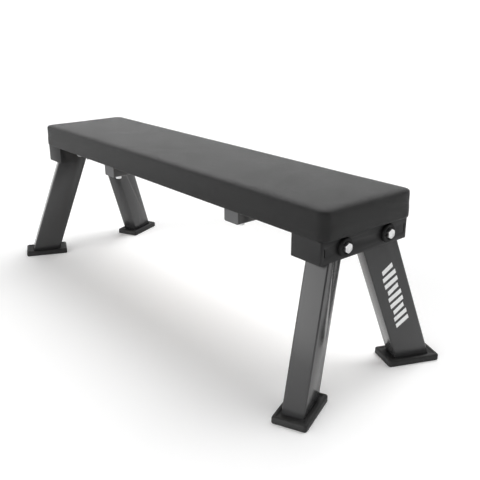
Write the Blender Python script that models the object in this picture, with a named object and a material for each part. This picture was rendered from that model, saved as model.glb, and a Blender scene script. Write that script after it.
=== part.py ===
"""Flat weight bench: a padded seat on a bolted frame with four splayed legs in rubber shoes.

One rigid assembly. Metres, +Z up, origin on the floor under the middle of the bench.
X runs along the seat (front end at +X, rear end at -X), Y across it (left at +Y, right at -Y).
"""
import math

import bmesh
import bpy
from mathutils import Euler, Matrix, Vector

# ---- Driving dimensions, in metres and degrees -------------------------------------------
FIT_GAP = 0.0003                # air between pieces that touch

PAD_LENGTH = 1.220
PAD_WIDTH = 0.276
PAD_TOP = 0.4185                # height of the seat above the floor
PAD_CORNER_RADIUS = 0.022       # upright corners, seen from above
PAD_EDGE_RADIUS = 0.010         # rounding along the top edge
PAD_HEM_RADIUS = 0.003          # rounding along the bottom edge
PAD_CORNER_LEAST = 0.002        # an outline drawn in keeps at least this corner
COVER_THICKNESS = 0.0015
HEM_WIDTH = 0.030               # cover turned in under the board
FOAM_THICKNESS = 0.0435
BOARD_THICKNESS = 0.015

FRAME_TUBE = 0.050              # square tube of the spine and the cross arms
FRAME_TUBE_WALL = 0.0025
FRAME_TUBE_CORNER = 0.004
ARM_X = 0.2815                  # middle of the seat to the middle of a cross arm
ARM_SETBACK = 0.042             # side of the pad to the closed end of a cross arm
CAP_THICKNESS = 0.002
CAP_PLUG_DEPTH = 0.012
CAP_CHAMFER = 0.0006

BRACKET_END_SETBACK = 0.010     # end of the pad to the end plate
BRACKET_SIDE_SETBACK = 0.004    # side of the pad to the side plate
BRACKET_SPARE = 0.001           # bracket's depth beyond the leg's width
BRACKET_BEND_RADIUS = 0.004
SHEET = 0.0025
NOTCH_MARGIN = 0.003            # inner plate's notch stays this clear of the leg
NOTCH_REACH = 0.025             # notch runs this far outside the leg bolt
NOTCH_HEADROOM = 0.0015
TONGUE_LEAST = 0.006            # inner plate keeps this width between its notches

RIB_THICKNESS = 0.002
RIB_INSET = 0.011               # side plate's outer face to the middle of the rib
RIB_RISE = 0.0149               # frame underside to the bottom of the rib
TAB_HEIGHT = 0.018
TAB_RECESS = 0.002              # plate's outer face to the end of the tab in its slot

LEG_WIDTH = 0.080
LEG_THICKNESS = 0.050
LEG_WALL = 0.0025
LEG_CORNER = 0.004
LEG_YAW = 23.5                  # turn of the leg's narrow faces about the upright, degrees
LEG_LEAN = 20.05                # lean of the leg from the upright, degrees
LEG_SIDE_MARGIN = 0.006         # leg to the side plate, at the bracket's lower edge
LEG_BOLT_OFFSET = 0.0027        # the leg's middle passes this far outside the bolt
BOLT_RISE = 0.0255              # frame underside to the leg bolts
LEG_TOP_RISE = 0.0165           # leg bolt to the top of the leg

SLEEVE_RADIUS = 0.010
LEG_BOLT_RADIUS = 0.006
LEG_BOLT_BORE = 0.0065
LEG_BOLT_FLATS = 0.019
LEG_BOLT_HEAD = 0.007
LEG_NUT_HEIGHT = 0.012
LEG_NUT_FLANGE_RADIUS = 0.013
LEG_NUT_FLANGE = 0.003
LEG_NUT_MARGIN = 0.0008         # nut's flange to the leg's wide face
BOLT_END = 0.0027               # thread past the nut

DISH_RADIUS = 0.0205            # black dished washer under each leg bolt's head
DISH_HEIGHT = 0.007
DISH_RECESS = 0.002
DISH_RECESS_RADIUS = 0.0132
DISH_EDGE_RADIUS = 0.003
DISH_CHAMFER = 0.0005
DISH_RECESS_CHAMFER = 0.0007

FOOT_LENGTH = 0.128             # along the leg's width
FOOT_WIDTH = 0.076              # along the leg's thickness
FOOT_CORNER = 0.006
FOOT_SIDE = 0.011               # height of the upright side
FOOT_SHOULDER = 0.0045          # rounding of the top edge
FOOT_RIM = 0.0035               # width of the flat rim
FOOT_DIP = 0.0015               # step down inside the rim
FOOT_SOLE = 0.006               # rubber under the leg
FOOT_SOLE_CHAMFER = 0.001
FOOT_CORNER_LEAST = 0.0015
TREAD_WIDTH = 0.004
TREAD_CORNER = 0.0016
TREAD_DEPTH = 0.0015
TREAD_PITCH = 0.020
TREAD_COUNT = 6
TREAD_MARGIN = 0.010            # side of the shoe to the end of a groove

PAD_BOLT_INSET = 0.030          # arm's closed end to the pad bolt
PAD_BOLT_RADIUS = 0.005
PAD_BOLT_BORE = 0.0055
PAD_BOLT_FLATS = 0.016
PAD_BOLT_HEAD = 0.0104          # height with the flange
PAD_BOLT_FLANGE_RADIUS = 0.0109
PAD_BOLT_FLANGE = 0.003
PAD_BOLT_SHORT = 0.003          # bolt tip below the top of the board
TEE_NUT_FLANGE_RADIUS = 0.011
TEE_NUT_BARREL_RADIUS = 0.0065
TEE_NUT_FLANGE = 0.0015
TEE_NUT_BARREL = 0.010

CORNER_STEPS = 3                # segments in a small rounded corner
PAD_CORNER_STEPS = 5
PAD_EDGE_STEPS = 4
ROUND_STEPS = 16                # segments round a bore or a sleeve
DISH_STEPS = 24                 # segments round a dished washer
HEX_STEPS = 12                  # segments round a hexagon, a multiple of six
HEX_FACE = 0.96                 # round face of a hexagon head, share of its width across flats
HEX_CHAMFER = math.radians(30)
FLANGE_CONE = 1.16              # top of a flange's cone, share of the width across flats
FLANGE_RIM = 0.3                # upright rim, share of a flange's height
BOLT_TIP = 0.0012               # chamfer at the end of a bolt
TUBE_CORNER_LEAST = 0.0005      # inner corner of a tube whose wall takes up its outer one
OVERCUT = 0.005                 # a cutter runs this far past the faces that it cuts

# ---- Heights and places that follow from them --------------------------------------------
BOARD_TOP = PAD_TOP - COVER_THICKNESS - FOAM_THICKNESS - 2 * FIT_GAP
BOARD_BOTTOM = BOARD_TOP - BOARD_THICKNESS
FRAME_TOP = BOARD_BOTTOM - FIT_GAP
FRAME_BOTTOM = FRAME_TOP - FRAME_TUBE
HEM_BOTTOM = BOARD_BOTTOM - FIT_GAP - COVER_THICKNESS
BRACKET_TOP = HEM_BOTTOM - FIT_GAP

BRACKET_DEPTH = LEG_WIDTH + BRACKET_SPARE    # end plate's outer face to inner plate's inner face
END_X = PAD_LENGTH / 2 - BRACKET_END_SETBACK
END_INNER_X = END_X - SHEET
PLATE_INNER_X = END_X - BRACKET_DEPTH
PLATE_OUTER_X = PLATE_INNER_X + SHEET
SIDE_Y = PAD_WIDTH / 2 - BRACKET_SIDE_SETBACK
SIDE_INNER_Y = SIDE_Y - SHEET
ARM_END_Y = PAD_WIDTH / 2 - ARM_SETBACK
PAD_BOLT_Y = ARM_END_Y - PAD_BOLT_INSET
RIB_Y = SIDE_Y - RIB_INSET
RIB_BOTTOM = FRAME_BOTTOM + RIB_RISE

YAW = math.radians(LEG_YAW)
LEAN_SLOPE = math.tan(math.radians(LEG_LEAN))
LEG_HALF_U = LEG_THICKNESS / 2
LEG_HALF_V = LEG_WIDTH / 2 / math.cos(math.radians(LEG_LEAN))    # level cut of the leaning tube
LEG_REACH_X = LEG_HALF_U * math.cos(YAW) + LEG_HALF_V * math.sin(YAW)
LEG_REACH_Y = LEG_HALF_U * math.sin(YAW) + LEG_HALF_V * math.cos(YAW)
CORNER_TRIM = LEG_CORNER * (math.cos(YAW) + math.sin(YAW) - 1)   # taken off both by the corner
BOLT_Z = FRAME_BOTTOM + BOLT_RISE
LEG_TOP = BOLT_Z + LEG_TOP_RISE
LEG_X = END_INNER_X - FIT_GAP - LEG_REACH_X + CORNER_TRIM        # leg's middle, at FRAME_BOTTOM
LEG_Y = SIDE_INNER_Y - LEG_SIDE_MARGIN - LEG_REACH_Y + CORNER_TRIM
BOLT_Y = LEG_Y - BOLT_RISE * LEAN_SLOPE * math.cos(YAW) - LEG_BOLT_OFFSET
FOOT_TOP = FOOT_SIDE + FOOT_SHOULDER
# The sleeve stands out of the leg's wide face until the nut's flange clears it.
NUT_EDGE_Y = BOLT_Y - LEG_NUT_FLANGE_RADIUS
WIDE_FACE_X = LEG_X - (LEG_HALF_U + (LEG_Y - NUT_EDGE_Y) * math.sin(YAW)) / math.cos(YAW)
NUT_SEAT_X = WIDE_FACE_X - LEG_NUT_MARGIN

ENDS = (("front", 1), ("rear", -1))
SIDES = (("left", 1), ("right", -1))
CORNERS = [(end + "_" + side, sx, sy) for end, sx in ENDS for side, sy in SIDES]


# ---- Materials ---------------------------------------------------------------------------
def material(name, colour, roughness, metallic=0.0):
    """A Principled material of one colour."""
    result = bpy.data.materials.new(name)
    result.use_nodes = True
    shader = result.node_tree.nodes["Principled BSDF"]
    shader.inputs["Base Color"].default_value = (*colour, 1.0)
    shader.inputs["Roughness"].default_value = roughness
    shader.inputs["Metallic"].default_value = metallic
    return result


# ---- Mesh building -----------------------------------------------------------------------
def rounded_rectangle(half_a, half_b, radius, steps=CORNER_STEPS):
    """Points round a rectangle with rounded corners, anticlockwise, as (a, b) pairs."""
    points = []
    for quarter, (sign_a, sign_b) in enumerate(((1, 1), (-1, 1), (-1, -1), (1, -1))):
        for step in range(steps + 1):
            angle = math.radians(90) * (quarter + step / steps)
            points.append((sign_a * (half_a - radius) + radius * math.cos(angle),
                           sign_b * (half_b - radius) + radius * math.sin(angle)))
    return points


def circle(radius, steps=ROUND_STEPS):
    """Points round a circle, anticlockwise."""
    turns = [math.tau * step / steps for step in range(steps)]
    return [(radius * math.cos(turn), radius * math.sin(turn)) for turn in turns]


def level(points, height, shift=(0, 0)):
    """Lift flat points to a height, moved sideways by shift."""
    return [Vector((a + shift[0], b + shift[1], height)) for a, b in points]


def add_loft(shape, rings, closed=False, place=Matrix()):
    """Skin a run of rings; capped at both ends, or joined last to first when closed."""
    loops = [[shape.verts.new(place @ point) for point in ring] for ring in rings]
    pairs = list(zip(loops, loops[1:]))
    if closed:
        pairs.append((loops[-1], loops[0]))
    else:
        shape.faces.new(loops[0])
        shape.faces.new(loops[-1])
    for lower, upper in pairs:
        for index, corner in enumerate(lower):
            after = (index + 1) % len(lower)
            shape.faces.new((corner, lower[after], upper[after], upper[index]))


def add_box(shape, low, high):
    """A plain block between two corners."""
    outline = [(low[0], low[1]), (high[0], low[1]), (high[0], high[1]), (low[0], high[1])]
    add_loft(shape, [level(outline, low[2]), level(outline, high[2])])


def add_turned(shape, profile, steps=ROUND_STEPS):
    """A ring turned about Z from a closed profile of (radius, height) points."""
    add_loft(shape, [level(circle(radius, steps), height) for radius, height in profile], closed=True)


def to_mesh(shape, name, smooth=True):
    """Turn the built shape into a mesh with its faces pointing out."""
    bmesh.ops.recalc_face_normals(shape, faces=shape.faces)
    mesh = bpy.data.meshes.new(name)
    shape.to_mesh(mesh)
    shape.free()
    if smooth:
        mesh.shade_smooth()
        mesh.set_sharp_from_angle(angle=math.radians(35))
    return mesh


def finish(shape, name, finish_material, location=(0, 0, 0), rotation=(0, 0, 0), smooth=True):
    """Turn the built shape into a named object."""
    return place_copy(to_mesh(shape, name, smooth), name, finish_material, location, rotation)


def place_copy(mesh, name, finish_material, location=(0, 0, 0), rotation=(0, 0, 0)):
    """Put a mesh in the scene as an object of its own."""
    if finish_material and not mesh.materials:
        mesh.materials.append(finish_material)
    piece = bpy.data.objects.new(name, mesh)
    piece.location = location
    piece.rotation_euler = rotation
    bpy.context.scene.collection.objects.link(piece)
    return piece


def cutter(shape, name):
    """A hidden object that only cuts others."""
    tool = finish(shape, name, None, smooth=False)
    tool.hide_render = True
    tool.display_type = "WIRE"
    return tool


def cut(piece, tool):
    """Take the tool's volume out of the piece."""
    removal = piece.modifiers.new("cut_" + tool.name, "BOOLEAN")
    removal.operation = "DIFFERENCE"
    removal.solver = "EXACT"
    removal.object = tool


def along_x(x, y, z, facing):
    """Frame whose Z axis points along +X or -X, with its origin at the given place."""
    turn = Matrix.Rotation(math.radians(90) * facing, 4, "Y")
    return Matrix.Translation((x, y, z)) @ turn


# ---- Pad ---------------------------------------------------------------------------------
def pad_ring(inset, height):
    """The pad's outline drawn in by inset, at a height."""
    return level(rounded_rectangle(PAD_LENGTH / 2 - inset, PAD_WIDTH / 2 - inset,
                                   max(PAD_CORNER_RADIUS - inset, PAD_CORNER_LEAST),
                                   PAD_CORNER_STEPS), height)


def edge_arc(radius, inset, height, start, steps):
    """Rings round a convex edge of the pad; start is 0 for the side and 90 for the top."""
    rings = []
    for step in range(steps + 1):
        angle = math.radians(start + 90 * step / steps)
        rings.append(pad_ring(inset - radius * math.cos(angle), height + radius * math.sin(angle)))
    return rings


def build_pad(vinyl, foam, plywood):
    """Board, foam and the vinyl cover that wraps both and turns in under the board."""
    lining = COVER_THICKNESS + FIT_GAP
    shape = bmesh.new()
    outside = [pad_ring(HEM_WIDTH, HEM_BOTTOM)]
    outside += edge_arc(PAD_HEM_RADIUS, PAD_HEM_RADIUS, HEM_BOTTOM + PAD_HEM_RADIUS, -90, 2)
    outside += edge_arc(PAD_EDGE_RADIUS, PAD_EDGE_RADIUS, PAD_TOP - PAD_EDGE_RADIUS, 0, PAD_EDGE_STEPS)
    inside = [pad_ring(HEM_WIDTH, HEM_BOTTOM + COVER_THICKNESS),
              pad_ring(COVER_THICKNESS, HEM_BOTTOM + COVER_THICKNESS)]
    inside += edge_arc(PAD_EDGE_RADIUS - COVER_THICKNESS, PAD_EDGE_RADIUS,
                       PAD_TOP - PAD_EDGE_RADIUS, 0, PAD_EDGE_STEPS)
    add_loft(shape, outside[::-1] + inside)
    finish(shape, "pad_cover", vinyl)

    shape = bmesh.new()
    rings = [pad_ring(lining, BOARD_TOP + FIT_GAP)]
    rings += edge_arc(PAD_EDGE_RADIUS - lining, PAD_EDGE_RADIUS,
                      PAD_TOP - PAD_EDGE_RADIUS, 0, PAD_EDGE_STEPS)
    add_loft(shape, rings)
    finish(shape, "pad_foam", foam)

    shape = bmesh.new()
    add_loft(shape, [pad_ring(lining, BOARD_BOTTOM), pad_ring(lining, BOARD_TOP)])
    board = finish(shape, "pad_board", plywood)
    seats = bmesh.new()
    flange_floor = BOARD_TOP - TEE_NUT_FLANGE - FIT_GAP
    bore = TEE_NUT_BARREL_RADIUS + FIT_GAP
    for x, y in pad_bolt_places():
        outline = [(bore, BOARD_BOTTOM - OVERCUT), (bore, flange_floor),
                   (TEE_NUT_FLANGE_RADIUS + FIT_GAP, flange_floor),
                   (TEE_NUT_FLANGE_RADIUS + FIT_GAP, BOARD_TOP + OVERCUT)]
        add_loft(seats, [level(circle(radius), height, (x, y)) for radius, height in outline])
    cut(board, cutter(seats, "tee_nut_seats"))


def pad_bolt_places():
    """Where the pad bolts stand."""
    return [(sx * ARM_X, sy * PAD_BOLT_Y) for _, sx, sy in CORNERS]


# ---- Fasteners ---------------------------------------------------------------------------
def hexagon(flats):
    """Points round a hexagon of the given width across flats, HEX_STEPS of them."""
    points = []
    for step in range(HEX_STEPS):
        turn = math.tau * step / HEX_STEPS
        from_flat = (turn + math.radians(30)) % math.radians(60) - math.radians(30)
        radius = flats / 2 / math.cos(from_flat)
        points.append((radius * math.cos(turn), radius * math.sin(turn)))
    return points


def chamfered(flats, height):
    """The hexagon's ring where a cone trims the corners of its top face."""
    face_radius = flats / 2 * HEX_FACE
    return [Vector((a, b, height - (math.hypot(a, b) - face_radius) * math.tan(HEX_CHAMFER)))
            for a, b in hexagon(flats)]


def add_hex_bolt(shape, radius, flats, head, flange_radius, flange, length):
    """Hexagon bolt: head above the local origin, with or without a flange, and shank below."""
    seat = [level(hexagon(flats), 0)]
    if flange:
        seat = [level(hexagon(flats), flange), level(circle(flats / 2 * FLANGE_CONE, HEX_STEPS), flange),
                level(circle(flange_radius, HEX_STEPS), flange * FLANGE_RIM),
                level(circle(flange_radius, HEX_STEPS), 0)]
    add_loft(shape, [level(circle(flats / 2 * HEX_FACE, HEX_STEPS), head), chamfered(flats, head),
                     *seat, level(circle(radius, HEX_STEPS), 0),
                     level(circle(radius, HEX_STEPS), BOLT_TIP - length),
                     level(circle(radius - BOLT_TIP, HEX_STEPS), -length)])


def add_flange_nut(shape, bore, flats, height, flange_radius, flange):
    """Hexagon nut with a flange, standing on the local origin."""
    add_loft(shape, [level(circle(bore, HEX_STEPS), 0), level(circle(flange_radius, HEX_STEPS), 0),
                     level(circle(flange_radius, HEX_STEPS), flange * FLANGE_RIM),
                     level(circle(flats / 2 * FLANGE_CONE, HEX_STEPS), flange),
                     level(hexagon(flats), flange), chamfered(flats, height),
                     level(circle(flats / 2 * HEX_FACE, HEX_STEPS), height),
                     level(circle(bore, HEX_STEPS), height)], closed=True)


def turned_ring(name, finish_material, profile, location, rotation, steps=ROUND_STEPS):
    """An object turned about its own Z axis from a closed profile."""
    shape = bmesh.new()
    add_turned(shape, profile, steps)
    return finish(shape, name, finish_material, location, rotation)


def build_leg_fasteners(zinc, black):
    """At each leg: dished washer and bolt outside the end plate, flange nut inside."""
    dish = [(LEG_BOLT_BORE, 0), (DISH_RADIUS - DISH_CHAMFER, 0), (DISH_RADIUS, DISH_CHAMFER)]
    for step in range(CORNER_STEPS + 1):
        turn = math.radians(90 * step / CORNER_STEPS)
        dish.append((DISH_RADIUS - DISH_EDGE_RADIUS + DISH_EDGE_RADIUS * math.cos(turn),
                     DISH_HEIGHT - DISH_EDGE_RADIUS + DISH_EDGE_RADIUS * math.sin(turn)))
    dish += [(DISH_RECESS_RADIUS + DISH_RECESS_CHAMFER, DISH_HEIGHT),
             (DISH_RECESS_RADIUS, DISH_HEIGHT - DISH_RECESS), (LEG_BOLT_BORE, DISH_HEIGHT - DISH_RECESS)]
    dish_x = END_X + FIT_GAP
    head_x = dish_x + DISH_HEIGHT - DISH_RECESS + FIT_GAP
    length = head_x - NUT_SEAT_X + LEG_NUT_HEIGHT + BOLT_END

    bolt_shape, nut_shape = bmesh.new(), bmesh.new()
    add_hex_bolt(bolt_shape, LEG_BOLT_RADIUS, LEG_BOLT_FLATS, LEG_BOLT_HEAD, 0, 0, length)
    add_flange_nut(nut_shape, LEG_BOLT_RADIUS + FIT_GAP, LEG_BOLT_FLATS, LEG_NUT_HEIGHT,
                   LEG_NUT_FLANGE_RADIUS, LEG_NUT_FLANGE)
    bolt_mesh, nut_mesh = to_mesh(bolt_shape, "leg_bolt"), to_mesh(nut_shape, "leg_nut")
    for name, sx, sy in CORNERS:
        y = sy * BOLT_Y
        outward, inward = (0, math.radians(90) * sx, 0), (0, math.radians(-90) * sx, 0)
        turned_ring(name + "_dished_washer", black, dish, (sx * dish_x, y, BOLT_Z), outward, DISH_STEPS)
        place_copy(bolt_mesh, name + "_leg_bolt", zinc, (sx * head_x, y, BOLT_Z), outward)
        place_copy(nut_mesh, name + "_leg_nut", zinc, (sx * NUT_SEAT_X, y, BOLT_Z), inward)


def build_pad_fasteners(zinc):
    """Under each cross arm a flange bolt, which runs up into a tee nut in the board."""
    seat_z = FRAME_BOTTOM - FIT_GAP
    bore = PAD_BOLT_RADIUS + FIT_GAP
    tee_profile = [(bore, -TEE_NUT_BARREL), (TEE_NUT_BARREL_RADIUS, -TEE_NUT_BARREL),
                   (TEE_NUT_BARREL_RADIUS, 0), (TEE_NUT_FLANGE_RADIUS, 0),
                   (TEE_NUT_FLANGE_RADIUS, TEE_NUT_FLANGE), (bore, TEE_NUT_FLANGE)]
    shape = bmesh.new()
    add_hex_bolt(shape, PAD_BOLT_RADIUS, PAD_BOLT_FLATS, PAD_BOLT_HEAD, PAD_BOLT_FLANGE_RADIUS,
                 PAD_BOLT_FLANGE, BOARD_TOP - PAD_BOLT_SHORT - seat_z)
    bolt_mesh = to_mesh(shape, "pad_bolt")
    for name, sx, sy in CORNERS:
        x, y = sx * ARM_X, sy * PAD_BOLT_Y
        place_copy(bolt_mesh, name + "_pad_bolt", zinc, (x, y, seat_z), (math.pi, 0, 0))
        turned_ring(name + "_tee_nut", zinc, tee_profile, (x, y, BOARD_TOP - TEE_NUT_FLANGE), (0, 0, 0))


# ---- Spine and cross arms ----------------------------------------------------------------
def tube_rings(half_a, half_b, wall, corner, low, high, slope=0.0):
    """Rings of a tube along Z, out and back; slope moves it along b as it rises."""
    outer = rounded_rectangle(half_a, half_b, corner)
    inner = rounded_rectangle(half_a - wall, half_b - wall, max(corner - wall, TUBE_CORNER_LEAST))
    return [level(points, height, (0, slope * height))
            for points, height in ((outer, low), (outer, high), (inner, high), (inner, low))]


def build_frame_tubes(paint, plastic):
    """Spine between the brackets, four cross arms welded to it, and their end caps."""
    half = FRAME_TUBE / 2
    spine_half_length = PLATE_INNER_X - FIT_GAP
    shape = bmesh.new()
    add_loft(shape, tube_rings(half, half, FRAME_TUBE_WALL, FRAME_TUBE_CORNER,
                               -spine_half_length, spine_half_length), closed=True)
    finish(shape, "spine_tube", paint, (0, 0, FRAME_TOP - half), (0, math.radians(90), 0))

    bores = bmesh.new()
    for x, y in pad_bolt_places():
        add_loft(bores, [level(circle(PAD_BOLT_BORE), FRAME_BOTTOM - OVERCUT, (x, y)),
                         level(circle(PAD_BOLT_BORE), FRAME_TOP + OVERCUT, (x, y))])
    bore_tool = cutter(bores, "pad_bolt_bores")

    arm_root = half + FIT_GAP
    arm_length = ARM_END_Y - CAP_THICKNESS - FIT_GAP - arm_root
    plug_half = half - FRAME_TUBE_WALL - FIT_GAP
    plug_corner = max(FRAME_TUBE_CORNER - FRAME_TUBE_WALL - FIT_GAP, TUBE_CORNER_LEAST)
    for name, sx, sy in CORNERS:
        upright = (math.radians(-90) * sy, 0, 0)
        shape = bmesh.new()
        add_loft(shape, tube_rings(half, half, FRAME_TUBE_WALL, FRAME_TUBE_CORNER, 0, arm_length),
                 closed=True)
        arm = finish(shape, name + "_cross_arm", paint,
                     (sx * ARM_X, sy * arm_root, FRAME_TOP - half), upright)
        cut(arm, bore_tool)
        shape = bmesh.new()
        plate = rounded_rectangle(half, half, FRAME_TUBE_CORNER)
        plug = rounded_rectangle(plug_half, plug_half, plug_corner)
        add_loft(shape, [level(plug, -CAP_PLUG_DEPTH), level(plug, 0), level(plate, 0),
                         level(plate, CAP_THICKNESS - CAP_CHAMFER),
                         level(rounded_rectangle(half - CAP_CHAMFER, half - CAP_CHAMFER,
                                                 FRAME_TUBE_CORNER), CAP_THICKNESS)])
        finish(shape, name + "_arm_cap", plastic,
               (sx * ARM_X, sy * (ARM_END_Y - CAP_THICKNESS), FRAME_TOP - half), upright)


# ---- End brackets ------------------------------------------------------------------------
def tab_slots():
    """Slots through both plates of both brackets, for the tabs of the ribs."""
    shape = bmesh.new()
    for sx in (1, -1):
        for sy in (1, -1):
            near, far = sorted((sx * (PLATE_INNER_X - OVERCUT), sx * (END_X + OVERCUT)))
            low_y = sy * RIB_Y - RIB_THICKNESS / 2 - FIT_GAP
            high_y = sy * RIB_Y + RIB_THICKNESS / 2 + FIT_GAP
            add_box(shape, (near, low_y, RIB_BOTTOM - FIT_GAP),
                    (far, high_y, RIB_BOTTOM + TAB_HEIGHT + FIT_GAP))
    return cutter(shape, "tab_slots")


def build_brackets(black):
    """Folded end box over the leg tops, notched inner plate and two ribs, at each end."""
    slots = tab_slots()
    bores = bmesh.new()
    for _, sx, sy in CORNERS:
        add_loft(bores, [level(circle(LEG_BOLT_BORE), height) for height in (-SHEET - OVERCUT, OVERCUT)],
                 place=along_x(sx * END_X, sy * BOLT_Y, BOLT_Z, sx))
    bore_tool = cutter(bores, "leg_bolt_bores")
    for end, sx in ENDS:
        build_end_box(end, sx, black, slots, bore_tool)
        build_inner_plate(end, sx, black, slots)
        for side, sy in SIDES:
            build_rib(end + "_" + side, sx, sy, black)


def end_outline(inset, open_x):
    """Plan of the folded box, drawn in by inset: bent corners at the end plate, square behind."""
    bend = BRACKET_BEND_RADIUS - inset
    points = [(open_x, -SIDE_Y + inset)]
    for sign in (-1, 1):
        centre_x, centre_y = END_X - inset - bend, sign * (SIDE_Y - inset - bend)
        for step in range(CORNER_STEPS + 1):
            turn = math.radians(90 * step / CORNER_STEPS - (90 if sign < 0 else 0))
            points.append((centre_x + bend * math.cos(turn), centre_y + bend * math.sin(turn)))
    points.append((open_x, SIDE_Y - inset))
    return points


def build_end_box(end, sx, black, slots, bore_tool):
    """End plate, two side plates and top in one folded sheet, open below and behind."""
    back_x = PLATE_OUTER_X + FIT_GAP
    shape = bmesh.new()
    outline = end_outline(0, back_x)
    add_loft(shape, [level(outline, FRAME_BOTTOM), level(outline, BRACKET_TOP)],
             place=Matrix.Rotation(0 if sx > 0 else math.pi, 4, "Z"))
    box = finish(shape, end + "_bracket", black)
    hollow = bmesh.new()
    outline = end_outline(SHEET, back_x - OVERCUT)
    add_loft(hollow, [level(outline, FRAME_BOTTOM - OVERCUT), level(outline, BRACKET_TOP - SHEET)],
             place=Matrix.Rotation(0 if sx > 0 else math.pi, 4, "Z"))
    cut(box, cutter(hollow, end + "_bracket_hollow"))
    cut(box, slots)
    cut(box, bore_tool)


def leg_inner_face_y(x, height):
    """Distance from the middle line to a leg's inward narrow face, at a given x and height."""
    inward = LEAN_SLOPE * (height - FRAME_BOTTOM)
    middle_x, middle_y = LEG_X - inward * math.sin(YAW), LEG_Y - inward * math.cos(YAW)
    return middle_y - (LEG_HALF_V + (x - middle_x) * math.sin(YAW)) / math.cos(YAW)


def notch_edge(low, high):
    """Inner edge of a notch: along the leg, then upright where the tongue would get too narrow."""
    low_y, high_y = (leg_inner_face_y(PLATE_OUTER_X, height) - NOTCH_MARGIN / math.cos(YAW)
                     for height in (low, high))
    least_y = TONGUE_LEAST / 2
    if high_y >= least_y:
        return [(low_y, low), (high_y, high)]
    turn = low + (high - low) * (low_y - least_y) / (low_y - high_y)
    return [(low_y, low), (least_y, turn), (least_y, high)]


def build_inner_plate(end, sx, black, slots):
    """Plate across the bench behind the leg tops, with a notch that lets each leg lean in."""
    x_low, x_high = sorted((sx * PLATE_INNER_X, sx * PLATE_OUTER_X))
    shape = bmesh.new()
    add_box(shape, (x_low, -SIDE_Y, FRAME_BOTTOM), (x_high, SIDE_Y, BRACKET_TOP))
    plate = finish(shape, end + "_inner_plate", black)
    low, high = FRAME_BOTTOM - OVERCUT, LEG_TOP + NOTCH_HEADROOM
    for side, sy in SIDES:
        reach = BOLT_Y + NOTCH_REACH
        outline = [(reach, low), (reach, high)] + notch_edge(low, high)[::-1]
        notch = bmesh.new()
        add_loft(notch, [[Vector((x, sy * y, z)) for y, z in outline]
                         for x in (x_low - OVERCUT, x_high + OVERCUT)])
        cut(plate, cutter(notch, end + "_" + side + "_notch"))
    cut(plate, slots)


def build_rib(name, sx, sy, black):
    """Upright rib inside the bracket, with a tab through each plate."""
    inner, outer = PLATE_OUTER_X + FIT_GAP, END_INNER_X - FIT_GAP
    top = BRACKET_TOP - SHEET - FIT_GAP
    tab_top = RIB_BOTTOM + TAB_HEIGHT
    tab_inner, tab_outer = PLATE_INNER_X + TAB_RECESS, END_X - TAB_RECESS
    outline = [(tab_inner, RIB_BOTTOM), (tab_outer, RIB_BOTTOM), (tab_outer, tab_top), (outer, tab_top),
               (outer, top), (inner, top), (inner, tab_top), (tab_inner, tab_top)]
    shape = bmesh.new()
    add_loft(shape, [[Vector((sx * x, y, z)) for x, z in outline]
                     for y in (-RIB_THICKNESS / 2, RIB_THICKNESS / 2)])
    finish(shape, name + "_rib", black, (0, sy * RIB_Y, 0), smooth=False)


# ---- Legs --------------------------------------------------------------------------------
def leg_middle(height, sx, sy):
    """Middle of the leg's level section at a height."""
    inward = LEAN_SLOPE * (height - FRAME_BOTTOM)
    return (sx * (LEG_X - inward * math.sin(YAW)), sy * (LEG_Y - inward * math.cos(YAW)), 0)


def leg_turn(sx, sy):
    """Rotation that points the leg's local Y the way the leg leans."""
    return (0, 0, math.atan2(-sy * math.cos(YAW), -sx * math.sin(YAW)) - math.pi / 2)


def build_legs(paint, zinc, rubber):
    """Leaning tube, the sleeve welded through it for its bolt, and its rubber shoe."""
    sleeve_outer, sleeve_inner = END_INNER_X - FIT_GAP, NUT_SEAT_X + FIT_GAP
    sleeve_length = sleeve_outer - sleeve_inner
    bores = bmesh.new()
    for _, sx, sy in CORNERS:
        add_loft(bores, [level(circle(SLEEVE_RADIUS + FIT_GAP), height)
                         for height in (-OVERCUT, sleeve_length + OVERCUT)],
                 place=along_x(sx * sleeve_inner, sy * BOLT_Y, BOLT_Z, sx))
    bore_tool = cutter(bores, "sleeve_bores")
    trim = bmesh.new()
    trim_y = TONGUE_LEAST / 2 + NOTCH_MARGIN
    add_box(trim, (-END_X, -trim_y, FRAME_BOTTOM), (END_X, trim_y, LEG_TOP + OVERCUT))
    middle_tool = cutter(trim, "middle_trim")

    sleeve = [(LEG_BOLT_BORE, 0), (SLEEVE_RADIUS, 0), (SLEEVE_RADIUS, sleeve_length),
              (LEG_BOLT_BORE, sleeve_length)]
    treads = tread_grooves()
    for name, sx, sy in CORNERS:
        ground = leg_middle(0, sx, sy)
        shape = bmesh.new()
        add_loft(shape, tube_rings(LEG_HALF_U, LEG_HALF_V, LEG_WALL, LEG_CORNER,
                                   FOOT_SOLE + FIT_GAP, LEG_TOP, LEAN_SLOPE), closed=True)
        leg = finish(shape, name + "_leg", paint, ground, leg_turn(sx, sy))
        cut(leg, bore_tool)
        cut(leg, middle_tool)
        turned_ring(name + "_leg_sleeve", zinc, sleeve, (sx * sleeve_inner, sy * BOLT_Y, BOLT_Z),
                    (0, math.radians(90) * sx, 0))
        foot = build_foot(name, ground, leg_turn(sx, sy), rubber)
        cut(foot, treads)


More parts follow.
